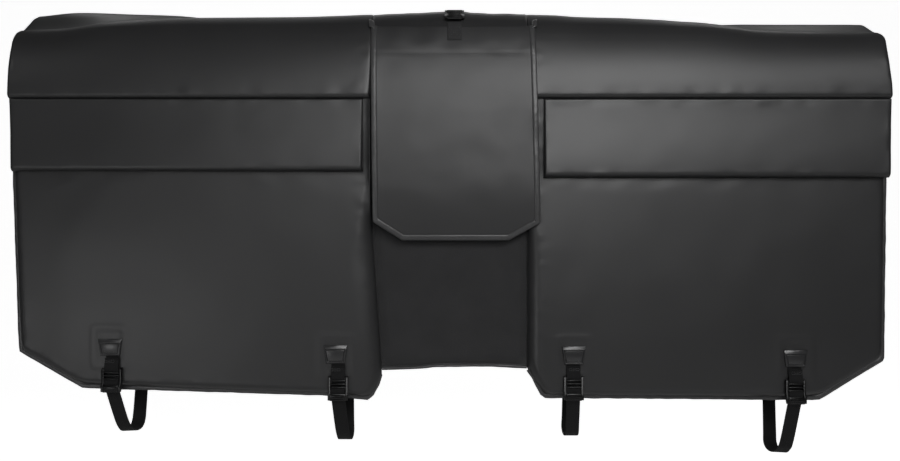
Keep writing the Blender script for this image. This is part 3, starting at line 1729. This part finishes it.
@dataclass
class StrapSet:
    """Patch, tab, buckle and loop of one fastening."""

    number: int
    twist: float
    lock_x: float
    foot_x: float
    rear_x: float
    rise: float = 0.0
    patch_rise: float = 0.0
    patch_shift: float = 0.0
    x: float = field(init=False)
    face: float = field(init=False)
    patch_top: float = field(init=False)
    patch_foot: float = field(init=False)
    lock_top: float = field(init=False)
    loop_foot: float = field(init=False)
    bed_x: float = field(init=False)
    bed_face: float = field(init=False)
    bed_top: float = field(init=False)
    lock: LadderLock = field(init=False)

    def __post_init__(self) -> None:
        """Reads where the CAD has its pieces."""
        low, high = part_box(f"strap_patch_{self.number}")
        self.x = (low[0] + high[0]) / 2 + self.patch_shift
        self.patch_top, self.patch_foot = high[2] + self.patch_rise, low[2] + min(self.patch_rise, 0.0)
        self.face = -low[1] - 0.0050
        self.lock_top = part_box(f"ladder_lock_{self.number}")[1][2] + self.rise
        self.loop_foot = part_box(f"loop_strap_{self.number}")[0][2]
        bed_low, bed_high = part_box(f"bed_patch_{self.number}")
        self.bed_x, self.bed_face, self.bed_top = (bed_low[0] + bed_high[0]) / 2, bed_low[1], bed_high[2]
        self.lock = LadderLock(f"lock_{self.number}", f"ladder_lock_{self.number}",
                               Matrix.Translation((self.lock_x, -self.face, self.lock_top)))

    def patch(self) -> None:
        """Moulds the coated patch: a trapezoid with a sloped top, a sunk ring and its box-X stitching."""
        wide, narrow, tall, thick = 0.0425, 0.0335, self.patch_top - self.patch_foot, 0.0036
        mesh = bmesh.new()
        corners = ((-narrow / 2, 0, 0), (narrow / 2, 0, 0), (wide / 2, 0, tall), (-wide / 2, 0, tall))
        front = extrude(mesh, corners, (0, -thick, 0))
        top = [f for f in mesh.faces if all(v in front for v in f.verts)]
        bmesh.ops.inset_region(mesh, faces=top, thickness=0.0022, depth=0.0016)
        for vert in top[0].verts:
            if vert.co.z > tall / 2:
                vert.co += Vector((0, -0.0004, -0.0046))
        for thickness, depth in ((0.0014, 0.0), (0.0010, -0.0022), (0.0012, 0.0), (0.0010, 0.0020)):
            bmesh.ops.inset_region(mesh, faces=top, thickness=thickness, depth=depth)
        bmesh.ops.recalc_face_normals(mesh, faces=mesh.faces[:])
        bmesh.ops.translate(mesh, verts=mesh.verts[:], vec=(self.x, -self.face, self.patch_foot))
        piece = finished(f"strap_hood_{self.number}", mesh, PATCH)
        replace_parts(piece, f"strap_patch_{self.number}")
        soften(piece, 0.0005, segments=2, angle=12)
        self.box_stitch(f"box_stitches_{self.number}", -self.face - thick - 0.0011, self.patch_foot + 0.0072,
                        0.0180, tall - 0.0190, front=True)

    def box_stitch(self, name: str, y: float, foot: float, wide: float, tall: float, front: bool) -> None:
        """Sews a square with a cross in it, on an upright face.

        Args:
            name: the piece's name.
            y: the face's place.
            foot: height of the square's lower edge.
            wide: its width.
            tall: its height.
            front: whether the face looks to the front.
        """
        out = -1 if front else 1
        half = wide / 2
        box = [(-half, 0, 0), (half, 0, 0), (half, 0, tall), (-half, 0, tall), (-half, 0, 0)]
        size = Matrix.Diagonal((0.00045, 0.00040, 0.00125, 1))
        mesh = bmesh.new()
        for line in (box, [box[0], box[2]], [box[1], box[3]]):
            for at, along in stitched(line, 0.0030):
                turn = Vector((0, 0, 1)).rotation_difference(along).to_matrix().to_4x4()
                spot = Matrix.Translation((self.x + at.x, y + out * 0.0001, foot + at.z))
                bmesh.ops.create_uvsphere(mesh, u_segments=6, v_segments=4, radius=1.0,
                                          matrix=spot @ turn @ size)
        finished(name, mesh, THREAD)

    def tab(self) -> None:
        """Folds the short webbing tab round the buckle's top bar."""
        back = [self.lock.at(*place) for place in ((0.0010, -0.046), (0.0010, -0.018), (0.0014, -0.006))]
        front = [self.lock.at(*place) for place in ((0.0084, -0.004), (0.0058, -0.010), (0.0050, -0.015),
                                                    (0.0066, -0.018))]
        path = bent(back, 0.004) + self.lock.around(0, 0, -180)[1:] + bent(front, 0.002)
        piece = STRAP.lay(f"tab_webbing_{self.number}", path)
        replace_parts(piece, f"strap_tab_{self.number}")
        self.box_stitch(f"tab_stitches_{self.number}", -self.face - 0.0068, self.lock_top + 0.0095, 0.018,
                        0.0045, front=True)

    def loop(self) -> None:
        """Hangs the loop from the buckle's lower bar, under the tailgate and up to the bed side."""
        foot, front_y, rear_y = self.loop_foot, -self.face - 0.0030, self.bed_face + 0.0012
        side_view = ((front_y, self.lock_top - 0.040), (0.56 * front_y, foot + 0.030),
                     (0.34 * front_y, foot + 0.010), (0.12 * front_y, foot + 0.0018), (0.010, foot - 0.0010),
                     (0.024, foot + 0.0008), (0.035, foot + 0.0090), (0.78 * rear_y, foot + 0.030),
                     (rear_y, foot + 0.10))
        hang = [Vector((self.sideways(z, y), y, z)) for y, z in side_view]
        tail = [self.lock.at(0.00925, 0.0415), self.lock.at(0.00885, 0.034)]
        path = bent(tail, 0.004) + self.lock.around(2, 180, 0) + bent(hang, 0.003)
        path += bent([Vector((self.bed_x, rear_y, z)) for z in (foot + 0.15, self.bed_top - 0.008)], 0.02)
        steps = [((end - start).length, end) for start, end in zip(path, path[1:])]
        to_foot = sum(step for step, end in steps if end.y < 0.012 and end.z < self.lock_top)
        foot_share = to_foot / sum(step for step, _ in steps)

        def across(share: float) -> Vector:
            """Direction across the webbing, which twists at the loop's foot."""
            amount = math.radians(self.twist) * bell(share - foot_share, 0.07)
            return Vector((math.cos(amount), math.sin(amount), 0))

        piece = STRAP.lay(f"loop_webbing_{self.number}", path, across)
        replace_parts(piece, f"loop_strap_{self.number}")

    def sideways(self, z: float, y: float) -> float:
        """Place across of the loop at a height, on its front or its rear leg."""
        share = smooth((z - self.loop_foot) / 0.07)
        return self.foot_x + ((self.lock_x if y < 0 else self.rear_x) - self.foot_x) * share

    def bed_patch(self) -> None:
        """Sews the coated patch over the loop's rear end."""
        mesh = bmesh.new()
        tall = 0.030
        place = Matrix.Translation((self.bed_x, self.bed_face + 0.0017, self.bed_top - tall / 2))
        bmesh.ops.create_cube(mesh, size=1.0, matrix=place @ Matrix.Diagonal((0.040, 0.0034, tall, 1)))
        piece = finished(f"bed_hood_{self.number}", mesh, PATCH)
        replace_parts(piece, f"bed_patch_{self.number}")
        soften(piece, 0.0016, segments=3, angle=30)
        self.box_stitch(f"bed_stitches_{self.number}", self.bed_face + 0.0034, self.bed_top - 0.025, 0.020,
                        0.020, front=False)

    def build(self) -> None:
        """Makes the whole set."""
        self.patch()
        self.tab()
        self.lock.build()
        self.loop()
        self.bed_patch()


def strap_sets() -> tuple[StrapSet, ...]:
    """The four sets, each hanging a little askew in its own way.

    Returns:
        The sets, from left to right.
    """
    return (StrapSet(1, 12, -0.5996, -0.5935, -0.5930, 0.0, -0.0010, -0.0060),
            StrapSet(2, 0, -0.1980, -0.1935, -0.1970, 0.0, 0.0030, -0.0030),
            StrapSet(3, 0, 0.2205, 0.2253, 0.2310, 0.0025, 0.0030, 0.0015),
            StrapSet(4, -12, 0.6145, 0.6115, 0.6170))


@dataclass
class Tie:
    """Tie over the flap's top edge: buckle on the crest, strap down to the flap, tab to the bed side."""

    flap: AccessFlap
    x: float = 0.009
    y: float = -0.0270
    z: float = 0.0455
    slope: float = -50.0

    def build(self) -> None:
        """Makes the buckle, its strap and its tab."""
        tilt = Matrix.Rotation(math.radians(self.slope), 4, "X")
        place = Matrix.Translation((self.x, self.y, self.z)) @ tilt
        lock = LadderLock("tie_buckle", "tie_lock", place, height=0.036, web_reach=0.0031)
        lock.build()
        tail = [lock.at(0.0100, 0.040), lock.at(0.0088, 0.031)]
        front = [self.flap.skin.point(self.x, -(GATE.flat + GATE.bend * angle / 90), 0.0014)
                 for angle in (48, 54, 62, 70, 78, 86, 90)]
        path = bent(tail, 0.003) + lock.around(2, 180, 0, 10) + bent(front, 0.003)
        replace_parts(TIE_STRAP.lay("tie_webbing", path, finish=TIE_WEBBING), "tie_strap")
        over = [GATE.place(self.x, v, h) for v, h in (
            (-0.020, 0.0545), (0.000, 0.0535), (0.020, 0.0500), (0.034, 0.0470), (GATE.below(0.02), 0.030),
            (GATE.below(0.05), 0.0160), (GATE.below(0.085), 0.0155))]
        path = lock.around(0, -180, 0, 10) + bent(over, 0.003)
        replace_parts(TIE_STRAP.lay("tie_tab_webbing", path), "tie_tab")
        self.stitches()

    def stitches(self) -> None:
        """Sews the strap's end to the flap with a box and a cross."""
        skin = self.flap.skin
        low, high = -GATE.flat - 0.93 * GATE.bend, -GATE.flat - 0.63 * GATE.bend
        left, right = self.x - 0.0105, self.x + 0.0105

        sewing = Stitching(length=0.0026, pitch=0.0034, width=0.0010)
        box = ((left, low), (right, low), (right, high), (left, high), (left, low))
        sewing.seam("tie_stitches", RaisedSkin(skin.pattern, skin, 0.0023),
                    [box, (box[0], box[2]), (box[1], box[3])])


@dataclass
class BikeStrap:
    """Hook-and-loop strap for a bicycle's down tube, closed on itself against the bed side."""

    number: int

    def build(self) -> None:
        """Folds the strap on its CAD solid's place."""
        low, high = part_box(f"bike_strap_{self.number}")
        x, inner = (low[0] + high[0]) / 2, low[1] + 0.0011
        top, foot, end = high[2], low[2], high[2] - 0.040
        side_view = ((0.0, top), (0.0, (top + foot) / 2), (0.0, foot + 0.008), (0.0026, foot + 0.0015),
                     (0.0056, foot + 0.008), (0.0040, foot + 0.040), (0.0026, foot + 0.075), (0.0026, end))
        path = bent([Vector((x, inner + out, z)) for out, z in side_view], 0.003)
        piece = BIKE_STRAP.lay(f"bike_webbing_{self.number}", path)
        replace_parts(piece, f"bike_strap_{self.number}")


# Studio


@dataclass(frozen=True)
class SoftBox:
    """Rectangular lamp that looks at the pad's middle from a direction given in degrees."""

    name: str
    azimuth: float
    elevation: float
    power: float
    distance: float = 2.6
    size: tuple[float, float] = (0.75, 0.55)

    def light(self) -> None:
        """Sets the lamp up."""
        data = bpy.data.lights.new(self.name, "AREA")
        data.shape, data.size, data.size_y, data.energy = "RECTANGLE", *self.size, self.power
        turn, rise = math.radians(self.azimuth), math.radians(self.elevation)
        away = Vector((math.sin(turn) * math.cos(rise), -math.cos(turn) * math.cos(rise), math.sin(rise)))
        lamp = bpy.data.objects.new(self.name, data)
        lamp.location = Vector((0.0, -0.08, -0.25)) + away * self.distance
        lamp.rotation_euler = away.to_track_quat("Z", "Y").to_euler()
        bpy.context.scene.collection.objects.link(lamp)


@dataclass
class Studio:
    """Camera, lamps, floor and backdrop of the photograph."""

    picture_width: int = 900
    metres_per_pixel: float = 0.0017605
    distance: float = 1.35
    eye_x: float = 0.001
    front: float = -0.079
    level: float = -0.350
    floor_drop: float = 1.25

    def camera(self) -> None:
        """Puts the level camera before the pad."""
        data = bpy.data.cameras.new("camera")
        half_view = self.picture_width * self.metres_per_pixel / 2 / self.distance
        data.lens = data.sensor_width / 2 / half_view
        data.clip_end = 50
        eye = bpy.data.objects.new("camera", data)
        eye.location = (self.eye_x, self.front - self.distance, self.level)
        eye.rotation_euler = (math.pi / 2, 0, 0)
        bpy.context.scene.collection.objects.link(eye)
        bpy.context.scene.camera = eye

    def surfaces(self) -> None:
        """Lays the floor and raises the backdrop behind it, in one curved sweep."""
        mesh = bmesh.new()
        start = [mesh.verts.new((-9, -6, -self.floor_drop)), mesh.verts.new((9, -6, -self.floor_drop))]
        edge = [mesh.edges.new(start)]
        runs = [(0, 9.0, 0)] + [(0, 1.2 * math.cos(a), 1.2 * math.sin(a))
                                for a in (math.radians(15 * s) for s in range(1, 6))] + [(0, 0, 6.0)]
        for move in runs:
            made = bmesh.ops.extrude_edge_only(mesh, edges=edge)["geom"]
            edge = [item for item in made if isinstance(item, bmesh.types.BMEdge)]
            moved = [item for item in made if isinstance(item, bmesh.types.BMVert)]
            bmesh.ops.translate(mesh, verts=moved, vec=move)
        bmesh.ops.recalc_face_normals(mesh, faces=mesh.faces[:])
        data = bpy.data.meshes.new("sweep")
        for face in mesh.faces:
            face.smooth = True
        mesh.to_mesh(data)
        mesh.free()
        data.materials.append(material_of(StudioWhite("studio_white", "", (0.80, 0.80, 0.80), 0.9)))
        sweep = bpy.data.objects.new("sweep", data)
        bpy.context.scene.collection.objects.link(sweep)

    def lamps(self) -> None:
        """Sets the soft boxes and the dim room light."""
        boxes = (
            SoftBox("key", 25, 25, 12.0), SoftBox("high", 5, 25, 11.0), SoftBox("front", 6, 12, 9.5),
            SoftBox("front_right", 25, 12, 2.6), SoftBox("front_left", -15, 12, 3.2),
            SoftBox("low_left", -35, -12, 4.0), SoftBox("far_right", 50, 25, 4.0),
            SoftBox("far_left", -60, 25, 1.6),
            SoftBox("rim", 180, 62, 10.0, distance=2.2, size=(3.2, 0.5)),
        )
        for box in boxes:
            box.light()
        world = bpy.data.worlds.new("room")
        world.use_nodes = True
        wiring = Wiring(world.node_tree)
        sky = world.node_tree.nodes["Background"]
        path = wiring.add("ShaderNodeLightPath")
        strength = wiring.blend(path.outputs["Is Camera Ray"], 0.03, 1.0)
        wiring.feed(sky, Color=(1.0, 1.0, 1.0, 1.0), Strength=strength)
        bpy.context.scene.world = world

    def build(self) -> None:
        """Sets up the whole studio."""
        bpy.context.scene.view_settings.view_transform = "Standard"
        self.camera()
        self.surfaces()
        self.lamps()


def main() -> None:
    """Builds the pad and its studio."""
    logging.basicConfig(level=logging.INFO, format="%(name)s %(message)s")
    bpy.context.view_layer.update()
    Studio().build()
    left, right = Wing(LEFT_WING), Wing(RIGHT_WING)
    for wing in (left, right):
        wing.build()
    centre = CentrePanel(left, right)
    centre.build()
    Lining(left, right, centre).build()
    flap = AccessFlap(CENTRE_CREST)
    flap.build()
    Tie(flap).build()
    for sewn in strap_sets():
        sewn.build()
    for number in range(1, 7):
        BikeStrap(number).build()


if __name__ == "__main__":
    main()
